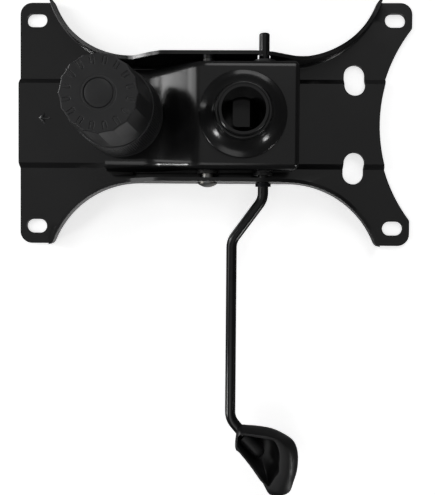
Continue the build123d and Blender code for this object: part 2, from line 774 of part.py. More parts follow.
# Tension knob: a ribbed skirt, a fluted grip and a hollow for the spring
with BuildPart() as tension_knob:
    rim_radius = knob_rim_diameter / 2
    step_radius = knob_step_diameter / 2
    with BuildSketch(down(knob_rim_depth)):
        with Locations((tension_x, 0)):
            Circle(rim_radius)
    extrude(amount=-knob_rim_band)
    skirt_start = ribbed_section(knob_rim_depth + knob_rim_band, rim_radius)
    skirt_end = ribbed_section(knob_step_depth, step_radius)
    loft([skirt_start, skirt_end], ruled=True)
    grip_start = fluted_section(knob_step_depth, knob_grip_diameter / 2)
    grip_end = fluted_section(knob_face_depth, knob_face_diameter / 2)
    loft([grip_start, grip_end], ruled=True)
    with BuildSketch(down(knob_rim_depth)):
        with Locations((tension_x, 0)):
            Circle(rim_radius - knob_wall)
    with BuildSketch(down(knob_cup_depth)):
        with Locations((tension_x, 0)):
            Circle(knob_cup_diameter / 2)
    loft(ruled=True, mode=Mode.SUBTRACT)
    # Pocket of the nut, way of the bolt and seat of the cap
    with BuildSketch(down(knob_nut_depth)):
        with Locations((tension_x, 0)):
            RegularPolygon(knob_nut_width / 2 + weld_gap, 6, major_radius=False)
    extrude(amount=-knob_nut_height, mode=Mode.SUBTRACT)
    with BuildSketch(down(knob_cup_depth - overrun)):
        with Locations((tension_x, 0)):
            Circle(bolt_diameter / 2 + free_gap)
    extrude(amount=-(knob_face_depth - cap_seat - knob_cup_depth + overrun), mode=Mode.SUBTRACT)
    with BuildSketch(down(knob_face_depth - cap_seat)):
        with Locations((tension_x, 0)):
            Circle(cap_diameter / 2 + cap_groove)
    extrude(amount=-(cap_seat + overrun), mode=Mode.SUBTRACT)
tension_knob.part.label = "tension_knob"
export_step(tension_knob.part, "parts/tension_knob.step")

# Cap in the middle of the knob's face, slightly crowned
with BuildPart() as knob_cap:
    with BuildSketch(Plane(origin=(tension_x, 0, 0), x_dir=(1, 0, 0), z_dir=(0, -1, 0))):
        cap_radius = cap_diameter / 2
        with BuildLine():
            Polyline(
                (0, -knob_face_depth + cap_seat), (cap_radius, -knob_face_depth + cap_seat),
                (cap_radius, -knob_face_depth),
            )
            ThreePointArc(
                (cap_radius, -knob_face_depth),
                (cap_radius / 2, -knob_face_depth - dome_middle(cap_radius, cap_crown)),
                (0, -knob_face_depth - cap_crown),
            )
            Line((0, -knob_face_depth - cap_crown), (0, -knob_face_depth + cap_seat))
        make_face()
    revolve(axis=Axis((tension_x, 0, 0), (0, 0, 1)))
knob_cap.part.label = "knob_cap"
export_step(knob_cap.part, "parts/knob_cap.step")

# Rocking bush of the lever: a ball-shaped band in the wall, with a flange in the gap
with BuildPart() as lever_bush:
    with BuildSketch(Plane(origin=(rod_x, rocker_y, -rod_depth), x_dir=(1, 0, 0), z_dir=(0, 0, 1))):
        half_band = rocker_band / 2
        band_edge = math.sqrt(rocker_radius ** 2 - half_band ** 2)
        half_length = rocker_length / 2
        shank = rocker_shank_diameter / 2
        bore = rod_diameter / 2 + running_gap
        with BuildLine():
            Polyline((bore, -half_length), (shank, -half_length), (shank, -half_band), (band_edge, -half_band))
            ThreePointArc((band_edge, -half_band), (rocker_radius, 0), (band_edge, half_band))
            Polyline(
                (band_edge, half_band), (shank, half_band), (shank, half_length - rocker_flange_sheet),
                (rocker_flange_diameter / 2, half_length - rocker_flange_sheet),
                (rocker_flange_diameter / 2, half_length), (bore, half_length), (bore, -half_length),
            )
        make_face()
    revolve(axis=Axis((rod_x, rocker_y, -rod_depth), (0, 1, 0)))
    # Two trunnions in notches of the wall, about which the lever is lifted
    with BuildSketch(Plane.YZ.offset(rod_x - rocker_radius - trunnion_length)):
        with Locations((rocker_y, -rod_depth)):
            Circle(trunnion_diameter / 2)
    extrude(amount=2 * (rocker_radius + trunnion_length))
    with BuildSketch(across(rocker_y - rocker_length)):
        with Locations((rod_x, rod_depth)):
            Circle(bore)
    extrude(amount=2 * rocker_length, mode=Mode.SUBTRACT)
lever_bush.part.label = "lever_bush"
export_step(lever_bush.part, "parts/lever_bush.step")

# Lever rod: straight through the mechanism, a dog-leg, a long straight and a turn into the paddle
rod_points = [
    (rod_x, rod_far_y), (rod_x, rod_near_bend_y), (rod_offset_x, rod_offset_y),
    (rod_offset_x, rod_paddle_bend_y), (rod_end_x, rod_end_y),
]
with BuildPart() as lever_rod:
    with BuildLine(down(rod_depth)) as rod_path:
        FilletPolyline(*rod_points, radius=rod_bend_radius)
    with BuildSketch(Plane(origin=(rod_x, rod_far_y, -rod_depth), x_dir=(1, 0, 0), z_dir=(0, 1, 0))):
        Circle(rod_diameter / 2)
    sweep(path=rod_path.wires()[0])
    chamfer(lever_rod.faces().sort_by(Axis.Y)[0].edges(), clip_chamfer)
lever_rod.part.label = "lever_rod"
export_step(lever_rod.part, "parts/lever_rod.step")

# Release tongue: a bent strip welded over the rod, with its pad over the valve
rod_top_depth = rod_depth - rod_diameter / 2
with BuildPart() as release_tongue:
    with BuildSketch(across(tongue_far_y)):
        with BuildLine():
            Polyline(
                (tongue_pad_front_x, tongue_pad_depth), (tongue_pad_rear_x, tongue_pad_depth),
                (tongue_weld_front_x, rod_top_depth - weld_gap), (tongue_weld_rear_x, rod_top_depth - weld_gap),
                (tongue_weld_rear_x, rod_top_depth - tongue_sheet - weld_gap),
                (tongue_weld_front_x - tongue_sheet / 2, rod_top_depth - tongue_sheet - weld_gap),
                (tongue_pad_rear_x - tongue_sheet / 2, tongue_pad_depth - tongue_sheet),
                (tongue_pad_front_x, tongue_pad_depth - tongue_sheet),
                close=True,
            )
        make_face()
    extrude(amount=tongue_near_y - tongue_far_y)
    pad_corners = release_tongue.edges().filter_by(Axis.Z).group_by(Axis.X)[0]
    fillet(pad_corners, tongue_corner)
release_tongue.part.label = "release_tongue"
export_step(release_tongue.part, "parts/release_tongue.step")

# Clip that stops the rod outside the near flange, clear of it while the rod is lifted
clip_start = waist_half_width + free_gap + clip_diameter / 2 * math.sin(math.radians(lift_limit))
export_step(
    tube_along_y("lever_clip", rod_x, rod_depth, [
        (rod_diameter + 2 * weld_gap, clip_diameter, clip_start, clip_start + clip_sheet),
    ]),
    "parts/lever_clip.step",
)


def paddle_places(shares):
    """Places in the paddle's box from shares of its width and length."""
    return [(paddle_x + x * paddle_width, paddle_y + y * paddle_length) for x, y in shares]


def hollow_section(depth, size_share):
    """Section of the paddle's hollow, drawn in towards its middle by a share."""
    middle_x = sum(x for x, y in hollow_shares) / len(hollow_shares)
    middle_y = sum(y for x, y in hollow_shares) / len(hollow_shares)
    drawn_in = [
        (middle_x + (x - middle_x) * size_share, middle_y + (y - middle_y) * size_share)
        for x, y in hollow_shares
    ]
    with BuildSketch(down(depth)) as section:
        with BuildLine():
            Polyline(*paddle_places(drawn_in), close=True)
        make_face()
        fillet(section.vertices(), hollow_corner * size_share)
    return section.sketch


# Paddle: a moulding with a broad side and a hollow, open below, and a boss that holds the rod
rod_end = Vector(rod_end_x, rod_end_y)
rod_bend = Vector(rod_offset_x, rod_paddle_bend_y)
end_way = (rod_end - rod_bend).normalized()
with BuildPart() as lever_paddle:
    with BuildSketch(down(paddle_rim_depth)) as paddle_outline:
        with BuildLine():
            ThreePointArc(*paddle_places(paddle_back_shares))
            ThreePointArc(*paddle_places(paddle_side_shares))
            Polyline(*paddle_places(paddle_front_shares))
        make_face()
        fillet(paddle_outline.vertices(), paddle_corner)
    extrude(amount=paddle_rim_depth - paddle_crown_depth, taper=paddle_draft_angle)
    fillet(lever_paddle.faces().sort_by(Axis.Z)[-1].edges(), paddle_crown)
    hollow_mouth = hollow_section(paddle_rim_depth, 1)
    hollow_top = hollow_section(paddle_crown_depth + paddle_wall, hollow_top_share)
    loft([hollow_mouth, hollow_top], ruled=True, mode=Mode.SUBTRACT)
    boss_start = rod_bend + end_way * boss_lead
    boss_length = (rod_end - boss_start).length
    boss_plane = Plane(
        origin=(boss_start.X, boss_start.Y, -rod_depth), x_dir=(0, 0, 1), z_dir=(end_way.X, end_way.Y, 0)
    )
    with BuildSketch(boss_plane):
        Circle(rod_diameter / 2 + boss_wall)
    extrude(amount=boss_length + boss_wall)
    with BuildSketch(boss_plane.offset(-overrun)):
        Circle(rod_diameter / 2 + weld_gap)
    extrude(amount=boss_length + overrun + weld_gap, mode=Mode.SUBTRACT)
lever_paddle.part.label = "lever_paddle"
export_step(lever_paddle.part, "parts/lever_paddle.step")

# Rubber stops: two pads on the front top edges, and an edging on the rear wall
front_pad_top = plate_sheet + free_gap
with BuildPart() as front_stop_pads:
    wall_middle = housing_half_width - housing_sheet / 2
    with BuildSketch(down(front_pad_top)):
        with Locations((front_pad_x, 0)):
            with GridLocations(0, 2 * wall_middle, 1, 2):
                Rectangle(front_pad_length, housing_sheet + 2 * pad_wall)
    extrude(amount=-(housing_wall_depth - front_pad_top + front_pad_overlap))
    with BuildSketch(down(housing_wall_depth)):
        with Locations((front_pad_x, 0)):
            with GridLocations(0, 2 * wall_middle, 1, 2):
                Rectangle(front_pad_length, housing_sheet + 2 * weld_gap)
    extrude(amount=-front_pad_overlap, mode=Mode.SUBTRACT)
    # The inner top edges stand clear of the channel's slope.
    top_edges = front_stop_pads.edges().filter_by(Axis.X).group_by(Axis.Z)[-1]
    chamfer(top_edges.filter_by(lambda edge: abs(edge.center().Y) < wall_middle), pad_chamfer)
front_stop_pads.part.label = "front_stop_pads"
export_step(front_stop_pads.part, "parts/front_stop_pads.step")

with BuildPart() as rear_stop_pad:
    rear_wall_middle = housing_rear_x - housing_sheet / 2
    with BuildSketch(down(rear_wall_depth - rear_pad_height)):
        with Locations((rear_wall_middle, 0)):
            Rectangle(housing_sheet + 2 * pad_wall, 2 * rear_pad_half_width)
    extrude(amount=-(rear_pad_height + rear_pad_overlap))
    with BuildSketch(down(rear_wall_depth)):
        with Locations((rear_wall_middle, 0)):
            Rectangle(housing_sheet + 2 * weld_gap, 2 * rear_pad_half_width)
    extrude(amount=-rear_pad_overlap, mode=Mode.SUBTRACT)
rear_stop_pad.part.label = "rear_stop_pad"
export_step(rear_stop_pad.part, "parts/rear_stop_pad.step")
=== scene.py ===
import json
import math

import bmesh
import bpy
import numpy as np
from bpy.props import FloatProperty, IntProperty, PointerProperty, StringProperty
from mathutils import Matrix, Vector


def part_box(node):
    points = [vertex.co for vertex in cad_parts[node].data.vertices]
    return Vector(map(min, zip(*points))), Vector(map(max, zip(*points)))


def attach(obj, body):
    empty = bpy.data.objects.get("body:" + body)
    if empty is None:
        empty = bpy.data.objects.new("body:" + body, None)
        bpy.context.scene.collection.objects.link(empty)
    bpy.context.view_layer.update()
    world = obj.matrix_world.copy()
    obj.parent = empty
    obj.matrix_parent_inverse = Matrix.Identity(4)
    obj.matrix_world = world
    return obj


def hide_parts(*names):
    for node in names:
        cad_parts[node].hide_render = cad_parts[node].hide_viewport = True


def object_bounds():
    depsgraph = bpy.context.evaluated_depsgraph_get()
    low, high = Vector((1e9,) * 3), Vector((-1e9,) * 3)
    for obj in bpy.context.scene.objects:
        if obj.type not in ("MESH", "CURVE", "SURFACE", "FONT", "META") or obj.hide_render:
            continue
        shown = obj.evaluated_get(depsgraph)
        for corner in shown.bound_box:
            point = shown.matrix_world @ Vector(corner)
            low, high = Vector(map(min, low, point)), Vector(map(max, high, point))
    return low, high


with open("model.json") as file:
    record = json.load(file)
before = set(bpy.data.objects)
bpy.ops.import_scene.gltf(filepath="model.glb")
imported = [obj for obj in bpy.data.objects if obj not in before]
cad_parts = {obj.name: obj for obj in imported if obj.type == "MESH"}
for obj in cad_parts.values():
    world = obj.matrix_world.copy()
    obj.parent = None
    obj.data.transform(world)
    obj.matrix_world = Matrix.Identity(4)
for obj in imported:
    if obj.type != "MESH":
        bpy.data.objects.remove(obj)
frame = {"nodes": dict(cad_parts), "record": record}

bl_info = {
    "name": "Office chair tilt mechanism",
    "version": (1, 0, 0),
    "blender": (4, 5, 0),
    "location": "3D View > Sidebar > Tilt mechanism",
    "description": "Dresses the packed solids of an office chair tilt mechanism",
    "category": "Object",
}

# Lengths are in metres, as in the frame. Z is 0 at the seat face, and the mechanism hangs below it.
MM = 0.001
CAD_BOUNDS = [list(corner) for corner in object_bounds()]


def spans(node):
    """Lowest and highest corner of a node as two arrays."""
    low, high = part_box(node)
    return np.array(low), np.array(high)


def middle(node):
    """Centre of a node's box."""
    low, high = spans(node)
    return (low + high) / 2


def radius_of(node):
    """Half of a node's width along X, which is the radius of a turned piece."""
    low, high = spans(node)
    return (high[0] - low[0]) / 2


BODY_OF = {
    node: body for body, members in frame["record"]["behaviour"]["bodies"].items() for node in members
}
SLOT_OF = {row["node"]: row["material_slot"] for row in frame["record"]["subparts"]}
NEW_FORMS = {"tension_knob", "knob_cap", "hub_cone", "lever_paddle"}


# Colours and node trees

def linear(hex_colour):
    """An sRGB hex colour as linear red, green, blue and alpha."""
    text = hex_colour.lstrip("#")
    channels = [int(text[i:i + 2], 16) / 255 for i in (0, 2, 4)]
    return [c / 12.92 if c <= 0.04045 else ((c + 0.055) / 1.055) ** 2.4 for c in channels] + [1.0]


def add_node(tree, kind, settings=(), links=()):
    """Adds one node, sets its attributes and sockets, and links its inputs from other nodes'
    first outputs or from single sockets."""
    node = tree.nodes.new(kind)
    for key, value in dict(settings).items():
        if isinstance(key, str) and hasattr(node, key):
            setattr(node, key, value)
        else:
            node.inputs[key].default_value = value
    for key, source in dict(links).items():
        socket = source.outputs[0] if isinstance(source, bpy.types.Node) else source
        tree.links.new(socket, node.inputs[key])
    return node


def new_material(name):
    """An empty node material, and its node tree."""
    material = bpy.data.materials.new(name)
    material.use_nodes = True
    material.node_tree.nodes.clear()
    return material, material.node_tree


def finish_material(tree, shader):
    """Links a shader to the output."""
    add_node(tree, "ShaderNodeOutputMaterial", links={"Surface": shader})


def object_place(tree, scale=(1, 1, 1)):
    """Object coordinates in metres, stretched by a Mapping node: a share under 1 draws a pattern
    out along that axis."""
    place = add_node(tree, "ShaderNodeTexCoord")
    return add_node(tree, "ShaderNodeMapping", {"Scale": scale}, {"Vector": place.outputs["Object"]})


def worn_edges(tree, reach):
    """A share that is high on sharp convex edges: how far a rounded normal leaves the true one."""
    rounded = add_node(tree, "ShaderNodeBevel", {"samples": 4, "Radius": reach})
    geometry = add_node(tree, "ShaderNodeNewGeometry")
    agreement = add_node(
        tree, "ShaderNodeVectorMath", {"operation": "DOT_PRODUCT"},
        {0: rounded, 1: geometry.outputs["Normal"]},
    )
    return add_node(
        tree, "ShaderNodeMapRange", {1: 0.97, 2: 0.8, 3: 0.0, 4: 1.0}, {0: agreement.outputs["Value"]}
    )


def baked_enamel():
    """Stoved gloss black enamel on pressed steel: a clear gloss over a wide, weak sheen, a soft
    orange peel of about 1.5 mm that breaks up reflections, a faint cloudiness of the gloss, and
    slightly thinner, greyer paint on sharp edges."""
    material, tree = new_material("stoved black enamel on pressed steel")
    place = object_place(tree)
    rough = settings().enamel_roughness
    cloud = add_node(tree, "ShaderNodeTexNoise", {"Scale": 1 / (35 * MM), "Detail": 2}, {"Vector": place})
    peel = add_node(tree, "ShaderNodeTexNoise", {"Scale": 1 / (1.6 * MM), "Detail": 2}, {"Vector": place})
    grain = add_node(tree, "ShaderNodeTexNoise", {"Scale": 1 / (0.4 * MM), "Detail": 2}, {"Vector": place})
    share = add_node(tree, "ShaderNodeMapRange", {1: 0.35, 2: 0.65}, {0: cloud})
    tone = add_node(
        tree, "ShaderNodeMix", {"data_type": "RGBA", 6: linear("#070708"), 7: linear("#0b0b0c")}, {0: share}
    )
    worn = add_node(
        tree, "ShaderNodeMix", {"data_type": "RGBA", 7: linear("#232324")},
        {0: worn_edges(tree, 0.5 * MM), 6: tone.outputs[2]},
    )
    gloss = add_node(tree, "ShaderNodeMapRange", {1: 0.3, 2: 0.7, 3: rough, 4: rough + 0.06}, {0: cloud})
    fine = add_node(tree, "ShaderNodeBump", {"Distance": 0.004 * MM}, {"Height": grain})
    skin = add_node(tree, "ShaderNodeBump", {"Distance": 0.01 * MM}, {"Height": peel, "Normal": fine})
    shader = add_node(
        tree, "ShaderNodeBsdfPrincipled",
        {"IOR": 1.5, "Roughness": 0.48, "Specular IOR Level": 0.15, "Coat Weight": 1.0, "Coat IOR": 1.5},
        {"Base Color": worn.outputs[2], "Coat Roughness": gloss, "Normal": skin, "Coat Normal": skin},
    )
    finish_material(tree, shader)
    return material


def rod_enamel():
    """Dipped black enamel on drawn rod: as glossy as the plate, with faint drawing lines along Y."""
    material, tree = new_material("dipped black enamel on drawn steel rod")
    lengthways = object_place(tree, scale=(1, 0.05, 1))
    lines = add_node(
        tree, "ShaderNodeTexNoise", {"Scale": 1 / (0.6 * MM), "Detail": 2}, {"Vector": lengthways}
    )
    cloud = add_node(
        tree, "ShaderNodeTexNoise", {"Scale": 1 / (20 * MM), "Detail": 2}, {"Vector": object_place(tree)}
    )
    tone = add_node(
        tree, "ShaderNodeMix", {"data_type": "RGBA", 6: linear("#0a0a0b"), 7: linear("#101011")}, {0: cloud}
    )
    gloss = add_node(tree, "ShaderNodeMapRange", {1: 0.3, 2: 0.7, 3: 0.2, 4: 0.27}, {0: cloud})
    drawn = add_node(tree, "ShaderNodeBump", {"Distance": 0.006 * MM}, {"Height": lines})
    shader = add_node(
        tree, "ShaderNodeBsdfPrincipled", {"IOR": 1.5},
        {"Base Color": tone.outputs[2], "Roughness": gloss, "Normal": drawn},
    )
    finish_material(tree, shader)
    return material


def moulded_polypropylene(name, dark, light, rough, grain_height):
    """Moulded polypropylene with a spark-eroded grain of about 0.3 mm: a low, even sheen, with a
    little more shine where fingers have rubbed the edges."""
    material, tree = new_material(name)
    place = object_place(tree)
    cloud = add_node(tree, "ShaderNodeTexNoise", {"Scale": 1 / (12 * MM), "Detail": 3}, {"Vector": place})
    grain = add_node(tree, "ShaderNodeTexNoise", {"Scale": 1 / (0.35 * MM), "Detail": 2}, {"Vector": place})
    share = add_node(tree, "ShaderNodeMapRange", {1: 0.3, 2: 0.7}, {0: cloud})
    tone = add_node(
        tree, "ShaderNodeMix", {"data_type": "RGBA", 6: linear(dark), 7: linear(light)}, {0: share}
    )
    polish = add_node(
        tree, "ShaderNodeMapRange", {3: rough, 4: rough - 0.12}, {0: worn_edges(tree, 0.35 * MM)}
    )
    eroded = add_node(tree, "ShaderNodeBump", {"Distance": grain_height}, {"Height": grain})
    shader = add_node(
        tree, "ShaderNodeBsdfPrincipled", {"IOR": 1.49},
        {"Base Color": tone.outputs[2], "Roughness": polish, "Normal": eroded},
    )
    finish_material(tree, shader)
    return material


def zinc_plate():
    """Bright zinc plating on turned steel: pale grey metal with a faint yellow and blue cast in
    patches of a few millimetres, and fine turning marks."""
    material, tree = new_material("zinc plated steel")
    turned = object_place(tree, scale=(1, 8, 1))
    patches = add_node(
        tree, "ShaderNodeTexNoise", {"Scale": 1 / (3 * MM), "Detail": 3}, {"Vector": object_place(tree)}
    )
    marks = add_node(tree, "ShaderNodeTexNoise", {"Scale": 1 / (0.8 * MM), "Detail": 2}, {"Vector": turned})
    share = add_node(tree, "ShaderNodeMapRange", {1: 0.35, 2: 0.65}, {0: patches})
    tone = add_node(
        tree, "ShaderNodeMix", {"data_type": "RGBA", 6: linear("#b4b1a8"), 7: linear("#a3a7ac")}, {0: share}
    )
    polish = add_node(tree, "ShaderNodeMapRange", {1: 0.3, 2: 0.7, 3: 0.28, 4: 0.4}, {0: patches})
    cut = add_node(tree, "ShaderNodeBump", {"Distance": 0.01 * MM}, {"Height": marks})
    shader = add_node(
        tree, "ShaderNodeBsdfPrincipled", {"Metallic": 1.0},
        {"Base Color": tone.outputs[2], "Roughness": polish, "Normal": cut},
    )
    finish_material(tree, shader)
    return material


def oiled_steel(name, dark, light, rough):
    """Bare or blackened steel under a film of oil: a dark metal with streaks a few millimetres long."""
    material, tree = new_material(name)
    upright = object_place(tree, scale=(1, 1, 0.3))
    streaks = add_node(tree, "ShaderNodeTexNoise", {"Scale": 1 / (2 * MM), "Detail": 4}, {"Vector": upright})
    share = add_node(tree, "ShaderNodeMapRange", {1: 0.3, 2: 0.7}, {0: streaks})
    tone = add_node(
        tree, "ShaderNodeMix", {"data_type": "RGBA", 6: linear(dark), 7: linear(light)}, {0: share}
    )
    polish = add_node(tree, "ShaderNodeMapRange", {1: 0.3, 2: 0.7, 3: rough, 4: rough + 0.12}, {0: streaks})
    drawn = add_node(tree, "ShaderNodeBump", {"Distance": 0.01 * MM}, {"Height": streaks})
    shader = add_node(
        tree, "ShaderNodeBsdfPrincipled", {"Metallic": 1.0},
        {"Base Color": tone.outputs[2], "Roughness": polish, "Normal": drawn},
    )
    finish_material(tree, shader)
    return material


def moulded_nylon(name, dark, light, rough):
    """Moulded nylon: slightly waxy, with a soft cloud of a few millimetres."""
    material, tree = new_material(name)
    cloud = add_node(
        tree, "ShaderNodeTexNoise", {"Scale": 1 / (4 * MM), "Detail": 3}, {"Vector": object_place(tree)}
    )
    share = add_node(tree, "ShaderNodeMapRange", {1: 0.3, 2: 0.7}, {0: cloud})
    tone = add_node(
        tree, "ShaderNodeMix", {"data_type": "RGBA", 6: linear(dark), 7: linear(light)}, {0: share}
    )
    polish = add_node(tree, "ShaderNodeMapRange", {1: 0.3, 2: 0.7, 3: rough, 4: rough + 0.1}, {0: cloud})
    skin = add_node(tree, "ShaderNodeBump", {"Distance": 0.02 * MM}, {"Height": cloud})
    shader = add_node(
        tree, "ShaderNodeBsdfPrincipled", {"IOR": 1.53},
        {"Base Color": tone.outputs[2], "Roughness": polish, "Normal": skin},
    )
    finish_material(tree, shader)
    return material


def stop_rubber():
    """Moulded rubber: dull black with a fine dusty grain of about half a millimetre."""
    material, tree = new_material("moulded rubber")
    grain = add_node(
        tree, "ShaderNodeTexNoise", {"Scale": 1 / (0.5 * MM), "Detail": 3}, {"Vector": object_place(tree)}
    )
    tone = add_node(
        tree, "ShaderNodeMix", {"data_type": "RGBA", 6: linear("#151515"), 7: linear("#222221")}, {0: grain}
    )
    dusty = add_node(tree, "ShaderNodeBump", {"Distance": 0.03 * MM}, {"Height": grain})
    shader = add_node(
        tree, "ShaderNodeBsdfPrincipled", {"IOR": 1.52, "Roughness": 0.85},
        {"Base Color": tone.outputs[2], "Normal": dusty},
    )
    finish_material(tree, shader)
    return material


# The maker of each slot's material, with what it is given: name, two tones, roughness and grain
FINISH_MAKERS = {
    "black_enamel": [baked_enamel],
    "black_rod": [rod_enamel],
    "grip_plastic": [moulded_polypropylene, "charcoal polypropylene", "#1f1f20", "#272728", 0.5, 0.02 * MM],
    "paddle_plastic": [moulded_polypropylene, "black polypropylene", "#151516", "#1c1c1d", 0.42, 0.012 * MM],
    "zinc": [zinc_plate],
    "plain_steel": [oiled_steel, "bare steel tube", "#98989b", "#b4b4b5", 0.5],
    "spring_steel": [oiled_steel, "oil hardened spring wire", "#2a2b2e", "#46474a", 0.3],
    "black_steel": [oiled_steel, "black oxide steel", "#202124", "#333437", 0.34],
    "nylon": [moulded_nylon, "grey nylon", "#3b3b3a", "#484846", 0.4],
    "black_nylon": [moulded_nylon, "black nylon", "#1b1b1c", "#262627", 0.42],
    "stop_rubber": [stop_rubber],
}
FINISHES = {}


def finish_of(slot):
    """The material of a slot of the record, made once."""
    if slot not in FINISHES:
        maker, *given = FINISH_MAKERS[slot]
        FINISHES[slot] = maker(*given)
    return FINISHES[slot]


# Meshes

def put_piece(name, mesh, node, slot, replaces=True):
    """Makes an object of a mesh in the finish of a slot. It rides on the node's body, and stands in
    for the node unless it only adds to it."""
    piece = bpy.data.objects.new(name, mesh)
    bpy.context.scene.collection.objects.link(piece)
    mesh.materials.append(finish_of(slot))
    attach(piece, BODY_OF[node])
    if replaces:
        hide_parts(node)


def put_mesh(name, points, faces, node, slot, smooth_angle, replaces=True):
    """Makes a piece from arrays of points and faces, shaded smooth up to the angle."""
    mesh = bpy.data.meshes.new(name)
    mesh.from_pydata(points.reshape(-1, 3).tolist(), [], [list(face) for face in faces])
    clean_up(mesh, smooth_angle)
    put_piece(name, mesh, node, slot, replaces)


def clean_up(mesh, smooth_angle, turn_out=True):
    """Merges doubled points, makes the faces look outwards and marks the edges over the angle sharp."""
    work = bmesh.new()
    work.from_mesh(mesh)
    bmesh.ops.remove_doubles(work, verts=work.verts, dist=0.002 * MM)
    bmesh.ops.dissolve_degenerate(work, edges=work.edges, dist=0.001 * MM)
    if turn_out:
        bmesh.ops.recalc_face_normals(work, faces=work.faces)
    limit = math.radians(smooth_angle)
    for face in work.faces:
        face.smooth = True
    for edge in work.edges:
        edge.smooth = len(edge.link_faces) == 2 and edge.calc_face_angle(0) < limit
    work.to_mesh(mesh)
    work.free()


def grid_faces(rows, columns, close_rows=False, close_columns=False):
    """Faces of a grid of points, numbered row by row; a closed way joins its last line to its first."""
    row = np.arange(rows if close_rows else rows - 1)
    column = np.arange(columns if close_columns else columns - 1)
    r, c = np.meshgrid(row, column, indexing="ij")
    r2, c2 = (r + 1) % rows, (c + 1) % columns
    quads = np.stack([r * columns + c, r * columns + c2, r2 * columns + c2, r2 * columns + c], axis=-1)
    return quads.reshape(-1, 4).tolist()


def capped_faces(rows, columns):
    """Faces of a tube of rows of points, with one face over its last row and one over its first."""
    last = (rows - 1) * columns
    ends = [list(range(last, last + columns)), list(range(columns))[::-1]]
    return grid_faces(rows, columns, close_columns=True) + ends


def turned_points(profile, centre, count):
    """Points of a turned form: the profile's radius and height carried round a vertical line at the
    centre. Row i, column j lies at the profile's radius i and the angle 2 pi j / count."""
    angle = np.linspace(0, 2 * np.pi, count, endpoint=False)
    radius, height = np.array(profile).T
    x = centre[0] + radius[:, None] * np.cos(angle)
    y = centre[1] + radius[:, None] * np.sin(angle)
    z = np.repeat(height[:, None], count, axis=1)
    return np.stack([x, y, z], axis=-1)


def smooth_profile(corners, rounding, steps=6):
    """Rounds the corners of a closed profile: near each corner the line follows a quadratic curve
    that starts and ends the rounding's length away from it, or half the shorter side if less."""
    corners = np.array(corners)
    points = []
    count = len(corners)
    for i in range(count):
        before, here, after = corners[i - 1], corners[i], corners[(i + 1) % count]
        back, ahead = before - here, after - here
        reach = min(rounding[i], np.linalg.norm(back) * 0.49, np.linalg.norm(ahead) * 0.49)
        if reach <= 0:
            points.append(here)
            continue
        start = here + back / np.linalg.norm(back) * reach
        end = here + ahead / np.linalg.norm(ahead) * reach
        t = np.linspace(0, 1, steps)[:, None]
        points.extend((1 - t) ** 2 * start + 2 * t * (1 - t) * here + t ** 2 * end)
    return np.array(points)


def closed_curve(corners, count):
    """A smooth closed curve through the corners (Catmull-Rom), sampled evenly by its length."""
    corners = np.array(corners, dtype=float)
    t = np.linspace(0, 1, 24, endpoint=False)[:, None]
    pieces = []
    for i in range(len(corners)):
        a, b, c, d = (corners[(i + k) % len(corners)] for k in (-1, 0, 1, 2))
        pieces.append(0.5 * (2 * b + (c - a) * t + (2 * a - 5 * b + 4 * c - d) * t ** 2
                             + (3 * b - 3 * c + d - a) * t ** 3))
    line = np.concatenate(pieces)
    line = np.vstack([line, line[:1]])
    length = np.concatenate([[0], np.cumsum(np.linalg.norm(np.diff(line, axis=0), axis=1))])
    even = np.linspace(0, length[-1], count, endpoint=False)
    return np.stack([np.interp(even, length, line[:, k]) for k in range(line.shape[1])], axis=-1)


def soften_bends(mesh):
    """Rounds the two folds of the housing's floor. The copy is cut into strips round each fold, and
    a point at the distance x from the fold, on the sheet below the walls, moves up or down by
    (reach - |x|) ** 2 / (4 * reach) times the change of slope there."""
    lowest = spans("housing")[0][2]
    hub_fold = middle("hub_cone")[0] - radius_of("hub_cone") - 1.5 * MM
    front_fold = middle("tension_bolt")[0] + radius_of("spring_seat") + 0.3 * MM
    folds = ((hub_fold, -1), (front_fold, 1))
    drop = spans("spring_seat")[1][2] - lowest
    slope = drop / (hub_fold - front_fold)
    reach = 7.5 * MM
    strips = 12
    wall_start, wall_blend = 9 * MM, 5 * MM
    work = bmesh.new()
    work.from_mesh(mesh)
    bmesh.ops.remove_doubles(work, verts=work.verts, dist=0.002 * MM)
    for place, side in folds:
        for cut in np.linspace(place - reach, place + reach, strips + 1):
            everything = list(work.verts) + list(work.edges) + list(work.faces)
            bmesh.ops.bisect_plane(work, geom=everything, plane_co=(cut, 0, 0), plane_no=(1, 0, 0))
    bmesh.ops.triangulate(work, faces=[face for face in work.faces if len(face.verts) > 4])
    work.to_mesh(mesh)
    work.free()
    points = np.empty(len(mesh.vertices) * 3)
    mesh.vertices.foreach_get("co", points)
    points = points.reshape(-1, 3)
    floor = lowest + drop * np.clip((hub_fold - points[:, 0]) / (hub_fold - front_fold), 0, 1)
    weight = np.clip((floor + wall_start - points[:, 2]) / wall_blend, 0, 1)
    for place, side in folds:
        left = np.clip(reach - np.abs(points[:, 0] - place), 0, None)
        points[:, 2] -= side * weight * slope * left ** 2 / (4 * reach)
    mesh.vertices.foreach_set("co", points.ravel())
    mesh.update()


def dress_node(node, slot, smooth_angle=32):
    """A merged, smoothly shaded copy of a solid whose shape is right, in place of its loose facets."""
    mesh = frame["nodes"][node].data.copy()
    mesh.name = node + "_skin"
    mesh.materials.clear()
    if mesh.has_custom_normals:
        mesh.attributes.remove(mesh.attributes["custom_normal"])
    if node == "housing":
        soften_bends(mesh)
    clean_up(mesh, smooth_angle, turn_out=False)
    put_piece(node + "_skin", mesh, node, slot)


# Settings that a user would change

